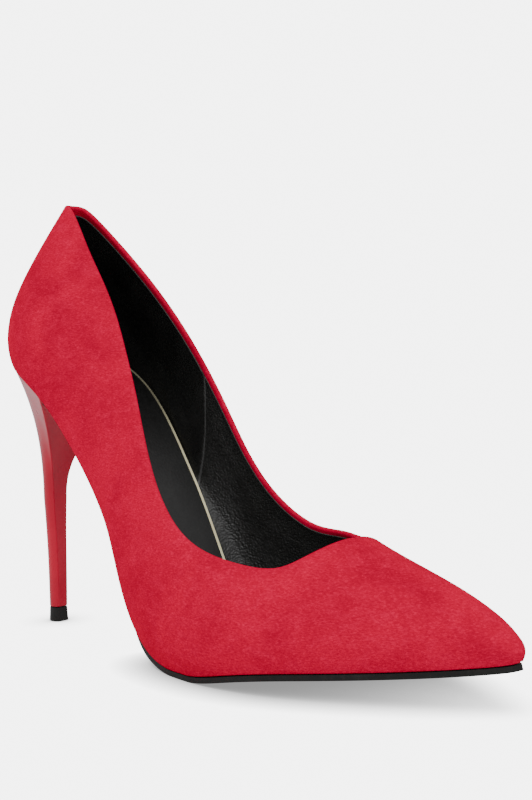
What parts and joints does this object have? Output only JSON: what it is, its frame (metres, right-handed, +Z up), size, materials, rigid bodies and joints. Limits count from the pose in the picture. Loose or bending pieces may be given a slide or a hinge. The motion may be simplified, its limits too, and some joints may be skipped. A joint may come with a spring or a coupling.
{
  "type": "high heel pump",
  "caption": "Right-foot stiletto pump with a pointed toe, red faux suede upper, black lining and sock, thin black sole and a lacquered heel with a black tip.",
  "frame": {"origin": "middle of the bounding box's bottom face, on the floor that the shoe stands on", "axes": "+X towards the toe, +Y towards the inner side of the foot, +Z up"},
  "size_m": [0.2242, 0.0776, 0.1664],
  "materials": {
    "suede": "napped faux suede",
    "pebbled_lining": "pebbled, semi-matte",
    "smooth_lining": "smooth, satin",
    "board": "pressed cellulose board",
    "fibreboard": "hard fibreboard",
    "tape": "woven tape",
    "puff": "thermoplastic film",
    "steel": "tempered steel",
    "filler": "felt sheet",
    "foam": "latex foam",
    "sock": "smooth, satin",
    "sole": "matt",
    "lacquer": "gloss lacquer",
    "tip": "dense polyurethane"
  },
  "bodies": {
    "root": {"upper": "suede", "vamp_lining": "pebbled_lining", "quarter_lining": "smooth_lining", "topline_tape": "tape", "interlining": "tape", "toe_puff": "puff", "heel_counter": "board", "insole_board": "board", "shank_board": "fibreboard", "steel_shank": "steel", "shank_rivet_front": "steel", "shank_rivet_rear": "steel", "bottom_filler": "filler", "outsole": "sole", "heel": "lacquer", "heel_tube": "steel", "heel_tip": "tip", "heel_tip_pin": "steel", "heel_screw": "steel", "heel_nail_1": "steel", "heel_nail_2": "steel", "heel_nail_3": "steel", "heel_nail_4": "steel", "sock_foam": "foam", "sock": "sock"}
  },
  "joints": []
}
